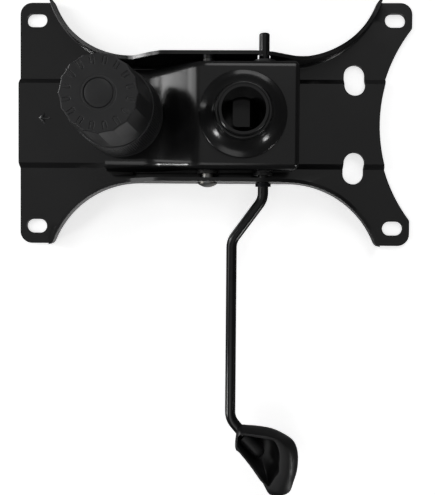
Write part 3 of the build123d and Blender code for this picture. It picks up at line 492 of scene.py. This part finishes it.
class MechanismSettings(bpy.types.PropertyGroup):
    """What a user would change about the mechanism's looks"""
    enamel_roughness: FloatProperty(
        name="Enamel roughness", description="Roughness of the black enamel", default=0.15, min=0.05, max=0.6
    )
    rib_count: IntProperty(
        name="Ribs", description="Fine ribs round the knob's skirt", default=112, min=24, max=160
    )
    rib_height: FloatProperty(
        name="Rib height", description="Height of a fine rib", default=0.35 * MM, unit="LENGTH"
    )
    flute_count: IntProperty(
        name="Flutes", description="Finger flutes round the knob's grip", default=16, min=6, max=24
    )
    flute_depth: FloatProperty(
        name="Flute depth", description="Depth of a finger flute", default=0.75 * MM, unit="LENGTH"
    )
    mark_depth: FloatProperty(
        name="Mark depth", description="Depth of the radial marks in the knob's face", default=0.3 * MM,
        unit="LENGTH",
    )
    floor_colour: StringProperty(name="Floor", description="Colour of the floor", default="#fbfbfb")
    camera_distance: FloatProperty(
        name="Camera distance", description="Distance of the camera from the seat face", default=0.4,
        unit="LENGTH",
    )


def settings():
    """The settings of the scene."""
    return bpy.context.scene.tilt_mechanism


class MECH_OT_dress_solids(bpy.types.Operator):
    """Dresses every solid whose shape is right with its finish"""
    bl_idname = "mechanism.dress_solids"
    bl_label = "Dress the solids"

    def execute(self, context):
        for node, slot in SLOT_OF.items():
            if node not in NEW_FORMS:
                dress_node(node, slot)
        return {"FINISHED"}


def knob_profile():
    """Rows of the knob from its inner floor over the rim to the face: radius, height, the share of
    the ribs and the share of the flutes in that row."""
    low, high = spans("tension_knob")
    rim = high[2]
    face = low[2]
    rim_radius = radius_of("tension_knob")
    face_radius = 0.8 * rim_radius
    step_radius = 0.92 * rim_radius
    step = rim - 28.5 * MM
    cup_floor, cup_radius = rim - 45.5 * MM, 21 * MM
    wall = 2.6 * MM
    rib_radius, rib_start = rim_radius - 0.3 * MM, rim - 3.3 * MM
    grip_radius, grip_start, grip_end = step_radius - 0.9 * MM, step - 1.0 * MM, face + 1.0 * MM
    rows = [
        # The cup that holds the spring
        (8 * MM, cup_floor, 0, 0), (cup_radius - 0.2 * MM, cup_floor, 0, 0),
        (cup_radius, cup_floor + 0.3 * MM, 0, 0), (rim_radius - wall, rim - 0.5 * MM, 0, 0),
        # The rim and the plain band below it
        (rim_radius - wall + 0.4 * MM, rim, 0, 0), (rim_radius - 0.5 * MM, rim, 0, 0),
        (rim_radius - 0.12 * MM, rim - 0.15 * MM, 0, 0), (rim_radius, rim - 0.6 * MM, 0, 0),
        (rim_radius - 0.05 * MM, rim - 2.6 * MM, 0, 0), (rim_radius - 0.25 * MM, rim - 2.9 * MM, 0, 0),
        (rib_radius, rib_start, 1, 0),
    ]
    # The ribbed skirt and its step
    for share in np.linspace(0.1, 1, 8):
        radius = rib_radius + share * (step_radius - rim_radius + 0.5 * MM)
        rows.append((radius, rib_start + share * (step - rim + 5.0 * MM), 1, 0))
    rows += [
        (step_radius, step + 1.2 * MM, 0.3, 0), (step_radius - 0.15 * MM, step + 0.6 * MM, 0, 0),
        (grip_radius, step + 0.1 * MM, 0, 0), (step_radius - 1.0 * MM, step - 0.5 * MM, 0, 0),
    ]
    # The grip, whose flutes come in over its first half, and the rounded edge of the face
    for share in np.linspace(0, 1, 22):
        flute = np.clip((share - 0.06) / 0.4, 0, 1)
        radius = grip_radius + share * (face_radius - grip_radius)
        height = grip_start + share * (grip_end - grip_start)
        rows.append((radius, height, 0, flute * flute * (3 - 2 * flute)))
    rows += [
        (face_radius - 0.12 * MM, face + 0.45 * MM, 0, 1), (face_radius - 0.4 * MM, face + 0.13 * MM, 0, 1),
        (face_radius - 0.85 * MM, face, 0, 1),
    ]
    return np.array(rows), face, face_radius


def knob_points(columns):
    """The knob's skin. The radius of a row is its own, less the ribs and flutes of that row: a rib
    is a rounded tooth, a flute falls off with the square of the angle from its middle. The face is
    flat, with grooves along the outline of a narrow tongue near its edge, closed towards the
    middle, and a step down to the cap."""
    own = settings()
    rows, face, face_radius = knob_profile()
    angle = np.linspace(0, 2 * np.pi, columns, endpoint=False)
    rib = (0.5 - 0.5 * np.cos(own.rib_count * angle)) ** 0.7 * own.rib_height
    from_middle = (angle * own.flute_count / (2 * np.pi)) % 1 * 2 - 1
    flute = (1 - from_middle ** 2) * own.flute_depth
    radius = rows[:, 0:1] - rows[:, 2:3] * rib - rows[:, 3:4] * flute
    height = np.repeat(rows[:, 1:2], columns, axis=1)
    cap_radius = radius_of("knob_cap") + 0.3 * MM
    cap_recess = 0.5 * MM
    face_rows = np.linspace(face_radius - 1.2 * MM, cap_radius + 0.4 * MM, 60)
    face_rows = np.concatenate([face_rows, [cap_radius]])
    edge_share = np.clip((face_rows - cap_radius) / (face_radius - cap_radius), 0, 1)[:, None] ** 2
    face_radii = face_rows[:, None] - edge_share * flute
    across = from_middle * face_rows[:, None] * np.pi / own.flute_count
    mark_half_width, mark_line = 1.05 * MM, 0.26 * MM
    mark_start, mark_end = face_radius - 6.4 * MM, face_radius - 1.3 * MM
    inward = np.clip(mark_start + mark_half_width - face_rows, 0, None)[:, None]
    from_line = np.hypot(across, inward) - mark_half_width
    groove = np.exp(-(from_line / mark_line) ** 2)
    window = np.clip((mark_end - face_rows) / (0.3 * MM), 0, 1)[:, None]
    ring_radius, ring_line, ring_depth = cap_radius + 1.6 * MM, 0.35 * MM, 0.15 * MM
    ring = np.exp(-((face_rows - ring_radius) / ring_line) ** 2)[:, None]
    face_heights = face + groove * window * own.mark_depth + ring * ring_depth
    face_heights[-1] = face + cap_recess
    floor_radii = np.full((1, columns), 1 * MM)
    floor_heights = np.full((1, columns), face + cap_recess)
    radius = np.concatenate([radius, face_radii, floor_radii])
    height = np.concatenate([height, face_heights, floor_heights])
    x, y = middle("tension_knob")[:2]
    return np.stack([x + radius * np.cos(angle), y + radius * np.sin(angle), height], axis=-1)


class MECH_OT_knob(bpy.types.Operator):
    """Makes the tension knob with its ribbed skirt, fluted grip and marked face, and its cap"""
    bl_idname = "mechanism.knob"
    bl_label = "Tension knob"

    def execute(self, context):
        columns = 896
        points = knob_points(columns)
        put_mesh(
            "ribbed_tension_knob", points, capped_faces(len(points), columns), "tension_knob",
            "grip_plastic", smooth_angle=40,
        )
        low, high = spans("knob_cap")
        top, face = high[2], low[2]
        radius = radius_of("knob_cap")
        crown, edge, pole = 0.6 * MM, 0.15 * MM, 0.05 * MM
        shares = np.linspace(0, 1, 10)[1:]
        profile = [(pole, top), (radius, top), (radius, face + crown + 0.2 * MM)]
        profile += [(radius * s, face + crown * s ** 2 + edge * s ** 12) for s in shares[::-1]]
        profile += [(pole, face)]
        count = 96
        dome = turned_points(profile, middle("knob_cap"), count)
        put_mesh(
            "crowned_knob_cap", dome, capped_faces(len(dome), count), "knob_cap", "grip_plastic",
            smooth_angle=50,
        )
        return {"FINISHED"}


class MECH_OT_cone(bpy.types.Operator):
    """Makes the pressed cone round the gas lift socket"""
    bl_idname = "mechanism.cone"
    bl_label = "Hub cone"

    def execute(self, context):
        low, high = spans("hub_cone")
        floor, mouth = high[2], low[2]
        base = radius_of("hub_cone")
        tube = radius_of("gas_lift_socket") + 0.02 * MM
        sheet = 2.2 * MM
        # Radius and height of each corner of the wall, and how far it is rounded: outside from the
        # floor to the mouth, then back inside
        outside = [
            (base, floor, 0), (base, floor - 2.6 * MM, 1.0 * MM),
            (base - 5.0 * MM, floor - 4.8 * MM, 2.4 * MM), (tube + 3.4 * MM, floor - 8.6 * MM, 1.8 * MM),
            (tube + 1.9 * MM, floor - 12.0 * MM, 2.0 * MM), (tube + 1.7 * MM, mouth, 0.6 * MM),
        ]
        inside = [
            (tube, mouth, 0.4 * MM), (tube, floor - 10 * MM, 1 * MM),
            (base - 9.5 * MM, floor - 3.5 * MM, 1 * MM), (base - sheet, floor - 1.4 * MM, 0.6 * MM),
            (base - sheet, floor, 0),
        ]
        corners = [corner[:2] for corner in outside + inside]
        rounding = [corner[2] for corner in outside + inside]
        profile = smooth_profile(corners, rounding, steps=8)
        count = 160
        points = turned_points(profile, middle("hub_cone"), count)
        faces = grid_faces(len(points), count, close_rows=True, close_columns=True)
        put_mesh("pressed_hub_cone", points, faces, "hub_cone", "black_enamel", smooth_angle=50)
        return {"FINISHED"}


# Outline of the paddle from the neck along the back, round the tip and back along the front: shares
# of its box across, along and up from its lower rim. The edge of its hollow, at the rim, goes the
# same way.
PADDLE_OUTLINE_SHARES = [
    (0.0, 0.3, 0.1), (0.003, 0.18, 0.3), (0.052, 0.035, 0.4), (0.211, 0.027, 0.42), (0.43, 0.045, 0.42),
    (0.63, 0.085, 0.42), (0.83, 0.175, 0.42), (0.955, 0.275, 0.42), (0.998, 0.434, 0.36), (0.982, 0.65, 0.3),
    (0.92, 0.82, 0.22), (0.86, 0.94, 0.14), (0.74, 0.985, 0.08), (0.57, 0.985, 0.08), (0.497, 0.925, 0.08),
    (0.477, 0.85, 0.08), (0.387, 0.76, 0.08), (0.229, 0.55, 0.08), (0.07, 0.365, 0.08),
]
HOLLOW_SHARES = [
    (0.03, 0.24), (0.032, 0.14), (0.055, 0.08), (0.183, 0.085), (0.378, 0.115), (0.583, 0.15), (0.661, 0.25),
    (0.69, 0.379), (0.682, 0.51), (0.68, 0.62), (0.618, 0.71), (0.553, 0.81), (0.515, 0.84), (0.465, 0.79),
    (0.41, 0.722), (0.253, 0.52), (0.095, 0.335),
]


class MECH_OT_paddle(bpy.types.Operator):
    """Makes the hollow paddle and the boss that holds the rod in it"""
    bl_idname = "mechanism.paddle"
    bl_label = "Lever paddle"

    def execute(self, context):
        low, high = spans("lever_paddle")
        size = high - low
        count = 220
        top, rim = high[2], low[2]
        hollow_depth = 0.78 * (top - rim)
        lip = 0.5 * MM
        outline = closed_curve(low + np.array(PADDLE_OUTLINE_SHARES) * size, count)
        hollow = closed_curve(low[:2] + np.array(HOLLOW_SHARES) * size[:2], count)
        outline, level = outline[:, :2], outline[:, 2]
        centre = hollow.mean(axis=0)
        crown_centre = outline.mean(axis=0)
        rings = []

        def ring(flat, height):
            rings.append(np.column_stack([flat, np.broadcast_to(height, count)]))

        # Inside, from the middle of the hollow out to its edge: the floor rises to the wall along
        # a quarter of a superellipse.
        for angle in np.linspace(0.02, np.pi / 2, 14):
            share = np.sin(angle) ** 0.55
            drop = np.cos(angle) ** 0.55
            ring(centre + (hollow - centre) * share * 0.99, rim + lip + (hollow_depth - lip) * drop)
        # The lip, then outside: over the broad side to the outline at its own level, and on to
        # the crown along a superellipse.
        flat_end = 0.34
        ring(hollow, rim + 0.15 * MM)
        for share in (0.08, 0.2, flat_end):
            ring(hollow + (outline - hollow) * share, rim)
        for share in np.linspace(0.45, 1, 12):
            rise = ((share - flat_end) / (1 - flat_end)) ** 2.2
            ring(hollow + (outline - hollow) * share, rim + (level - rim) * rise)
        for angle in np.linspace(0.12, np.pi / 2 - 0.02, 18):
            share = np.cos(angle) ** 0.62
            rise = np.sin(angle) ** 0.8
            ring(crown_centre + (outline - crown_centre) * share, level + (top - level) * rise)
        points = np.stack(rings)
        put_mesh(
            "moulded_lever_paddle", points, capped_faces(len(points), count), "lever_paddle",
            "paddle_plastic", smooth_angle=50,
        )
        self.boss(low, size)
        return {"FINISHED"}

    def boss(self, low, size):
        """A round-ended boss about the rod: a circle carried along a straight line, whose radius
        narrows evenly and closes over the last part as the side of a circle."""
        start = np.array([low[0] + 0.12 * size[0], low[1] + 0.17 * size[1]])
        end = np.array([low[0] + 0.44 * size[0], low[1] + 0.48 * size[1]])
        length = np.linalg.norm(end - start)
        way = (end - start) / length
        across = np.array([-way[1], way[0]])
        round_share = 0.3
        straight = np.linspace(0, 1 - round_share, 8)
        along = np.concatenate([straight, 1 - round_share * (1 - np.linspace(0, 1, 14)) ** 2])
        left = np.clip((1 - along) / round_share, 0, 1)
        closing = np.sqrt(np.clip(1 - (1 - left) ** 2, 0.0005, 1))
        radius = 5.6 * MM * (1 - 0.1 * along) * closing
        count = 64
        turn = np.linspace(0, 2 * np.pi, count, endpoint=False)
        place = start + along[:, None] * length * way
        flat = place[:, None, :] + radius[:, None, None] * np.cos(turn)[None, :, None] * across
        height = middle("lever_rod")[2] + radius[:, None] * np.sin(turn)
        points = np.concatenate([flat, height[:, :, None]], axis=-1)
        put_mesh(
            "rod_boss", points, capped_faces(len(points), count), "lever_paddle", "paddle_plastic",
            smooth_angle=60, replaces=False,
        )


class MECH_OT_arrow(bpy.types.Operator):
    """Embosses a small arrow in the channel, pointing to the front"""
    bl_idname = "mechanism.arrow"
    bl_label = "Embossed arrow"

    def execute(self, context):
        low, high = spans("seat_plate")
        channel_floor = high[2] - 5.5 * MM
        centre = np.array([low[0] + 19 * MM, -3.5 * MM])
        length, width, stem = 8.0 * MM, 7.2 * MM, 1.5 * MM
        outline = np.array([
            (-0.5 * length, 0), (0.0, 0.5 * width), (0.0, 0.5 * stem), (0.5 * length, 0.5 * stem),
            (0.5 * length, -0.5 * stem), (0.0, -0.5 * stem), (0.0, -0.5 * width),
        ])
        # Foot, shoulder and top of the emboss: size of the outline, and how far it stands off
        levels = ((1.1, 0.05 * MM), (1.0, -0.3 * MM), (0.88, -0.5 * MM))
        points = np.stack([
            np.column_stack([centre + outline * size, np.full(len(outline), channel_floor + height)])
            for size, height in levels
        ])
        put_mesh(
            "embossed_arrow", points, capped_faces(len(points), len(outline)), "seat_plate",
            "black_enamel", smooth_angle=70, replaces=False,
        )
        return {"FINISHED"}


# Camera and light. The directions were fitted to the seat bolt slots of the photograph.
CAMERA_X = 8.9 * MM
CAMERA_Y = 66.8 * MM
CAMERA_RIGHT = (0.99980, -0.00781, 0.01813)
CAMERA_DOWN = (0.00819, 0.99974, -0.02135)
FOCAL_PIXELS = 543.9
CENTRE_PIXEL = (216.0, 227.7)
IMAGE_SIZE = (435, 495)
SENSOR = 36.0


# Soft white lights: name, place, size and power. The first eight are on the camera's side, the
# last two light the face that the seat rests on.
LIGHT_TARGET = (0, 0.04, -0.02)
LIGHTS = (
    ("overhead_panel", (0.0, 0.0, -1.7), (1.9, 1.9), 2.6),
    ("key_panel", (0.3, -1.3, -1.15), (1.1, 1.1), 7),
    ("fill_panel", (-0.3, 0.9, -1.3), (0.8, 0.8), 2.2),
    ("left_panel", (-1.35, -0.1, -0.55), (0.9, 0.8), 3.4),
    ("bend_panel", (-1.22, -0.4, -1.0), (0.35, 0.6), 2.2),
    ("slope_box", (-1.12, -0.31, -0.33), (0.15, 0.11), 0.9),
    ("roll_box", (-1.00, 0.60, -0.30), (0.2, 0.15), 2.2),
    ("rear_box", (0.90, 0.74, -0.32), (0.2, 0.15), 1.6),
    ("seat_side_panel", (0.3, 0.6, 1.6), (1.4, 1.4), 22),
    ("seat_side_box", (-1.1, -0.6, 0.7), (0.5, 0.4), 8),
)


def place_light(name, place, size, power):
    """A rectangular soft light at a place, turned to the lights' target."""
    data = bpy.data.lights.new(name, "AREA")
    data.shape = "RECTANGLE"
    data.size, data.size_y = size
    data.energy = power
    light = bpy.data.objects.new(name, data)
    bpy.context.scene.collection.objects.link(light)
    direction = np.array(LIGHT_TARGET) - np.array(place)
    light.location = place
    light.rotation_mode = "QUATERNION"
    light.rotation_quaternion = Vector(direction).to_track_quat("-Z", "Y")


class MECH_OT_stage(bpy.types.Operator):
    """Makes the camera, the lights and the pale floor that the plate lies on"""
    bl_idname = "mechanism.stage"
    bl_label = "Stage"

    def execute(self, context):
        self.camera()
        self.floor()
        self.lights()
        return {"FINISHED"}

    def camera(self):
        right, down = np.array(CAMERA_RIGHT), np.array(CAMERA_DOWN)
        right = right / np.linalg.norm(right)
        forward = np.cross(right, down)
        forward = forward / np.linalg.norm(forward)
        down = np.cross(forward, right)
        turn = np.stack([right, -down, -forward], axis=1)
        data = bpy.data.cameras.new("photograph")
        data.sensor_width = SENSOR
        data.lens = FOCAL_PIXELS * SENSOR / max(IMAGE_SIZE)
        data.shift_x = (IMAGE_SIZE[0] / 2 - CENTRE_PIXEL[0]) / max(IMAGE_SIZE)
        data.shift_y = (CENTRE_PIXEL[1] - IMAGE_SIZE[1] / 2) / max(IMAGE_SIZE)
        data.clip_start, data.clip_end = 0.01, 20
        camera = bpy.data.objects.new("photograph", data)
        bpy.context.scene.collection.objects.link(camera)
        place = Matrix(turn.tolist()).to_4x4()
        place.translation = (CAMERA_X, CAMERA_Y, -settings().camera_distance)
        camera.matrix_world = place
        bpy.context.scene.camera = camera

    def floor(self):
        """A pale floor just above the seat face, seen only from the mechanism's side. It throws
        little light back, because the photograph's white ground throws none."""
        level = CAD_BOUNDS[1][2] + 0.2 * MM
        reach = 3.0
        corners = ((-reach, -reach), (-reach, reach), (reach, reach), (reach, -reach))
        mesh = bpy.data.meshes.new("floor")
        mesh.from_pydata([(x, y, level) for x, y in corners], [], [(0, 1, 2, 3)])
        floor = bpy.data.objects.new("floor", mesh)
        bpy.context.scene.collection.objects.link(floor)
        material, tree = new_material("matt white paper")
        grain = add_node(
            tree, "ShaderNodeTexNoise", {"Scale": 1 / (2 * MM), "Detail": 2}, {"Vector": object_place(tree)}
        )
        fibres = add_node(tree, "ShaderNodeBump", {"Distance": 0.02 * MM}, {"Height": grain})
        matt = add_node(
            tree, "ShaderNodeBsdfDiffuse", {"Color": linear(settings().floor_colour)}, {"Normal": fibres}
        )
        glow = add_node(tree, "ShaderNodeEmission", {"Color": linear("#ffffff"), "Strength": 0.62})
        lit = add_node(tree, "ShaderNodeAddShader", {}, {0: matt, 1: glow})
        dim = add_node(tree, "ShaderNodeBsdfDiffuse", {"Color": linear("#6a6a6a")})
        clear = add_node(tree, "ShaderNodeBsdfTransparent")
        side = add_node(tree, "ShaderNodeNewGeometry")
        ray = add_node(tree, "ShaderNodeLightPath")
        open_to = add_node(
            tree, "ShaderNodeMath", {"operation": "MAXIMUM"},
            {0: side.outputs["Backfacing"], 1: ray.outputs["Is Shadow Ray"]},
        )
        seen = add_node(tree, "ShaderNodeMixShader", {}, {0: ray.outputs["Is Camera Ray"], 1: dim, 2: lit})
        shader = add_node(tree, "ShaderNodeMixShader", {}, {0: open_to, 1: seen, 2: clear})
        finish_material(tree, shader)
        mesh.materials.append(material)

    def lights(self):
        """A dim even sky and the soft lights."""
        world = bpy.data.worlds.new("studio")
        world.use_nodes = True
        world.node_tree.nodes.clear()
        tree = world.node_tree
        sky = add_node(tree, "ShaderNodeBackground", {"Color": linear("#ffffff"), "Strength": 0.06})
        add_node(tree, "ShaderNodeOutputWorld", {}, {"Surface": sky})
        bpy.context.scene.world = world
        bpy.context.scene.view_settings.view_transform = "Standard"
        for light in LIGHTS:
            place_light(*light)


class MECH_PT_panel(bpy.types.Panel):
    bl_idname = "MECH_PT_panel"
    bl_label = "Tilt mechanism"
    bl_space_type = "VIEW_3D"
    bl_region_type = "UI"
    bl_category = "Tilt mechanism"

    def draw(self, context):
        for operator in OPERATORS:
            self.layout.operator(operator.bl_idname)
        for name in MechanismSettings.__annotations__:
            self.layout.prop(context.scene.tilt_mechanism, name)


OPERATORS = (
    MECH_OT_dress_solids, MECH_OT_knob, MECH_OT_cone, MECH_OT_paddle, MECH_OT_arrow, MECH_OT_stage,
)


def register():
    for item in (MechanismSettings, *OPERATORS, MECH_PT_panel):
        bpy.utils.register_class(item)
    bpy.types.Scene.tilt_mechanism = PointerProperty(type=MechanismSettings)


def unregister():
    del bpy.types.Scene.tilt_mechanism
    for item in reversed((MechanismSettings, *OPERATORS, MECH_PT_panel)):
        bpy.utils.unregister_class(item)


def main():
    register()
    bpy.ops.mechanism.dress_solids()
    bpy.ops.mechanism.knob()
    bpy.ops.mechanism.cone()
    bpy.ops.mechanism.paddle()
    bpy.ops.mechanism.arrow()
    bpy.ops.mechanism.stage()
    bpy.context.view_layer.update()


if __name__ == "__main__":
    main()
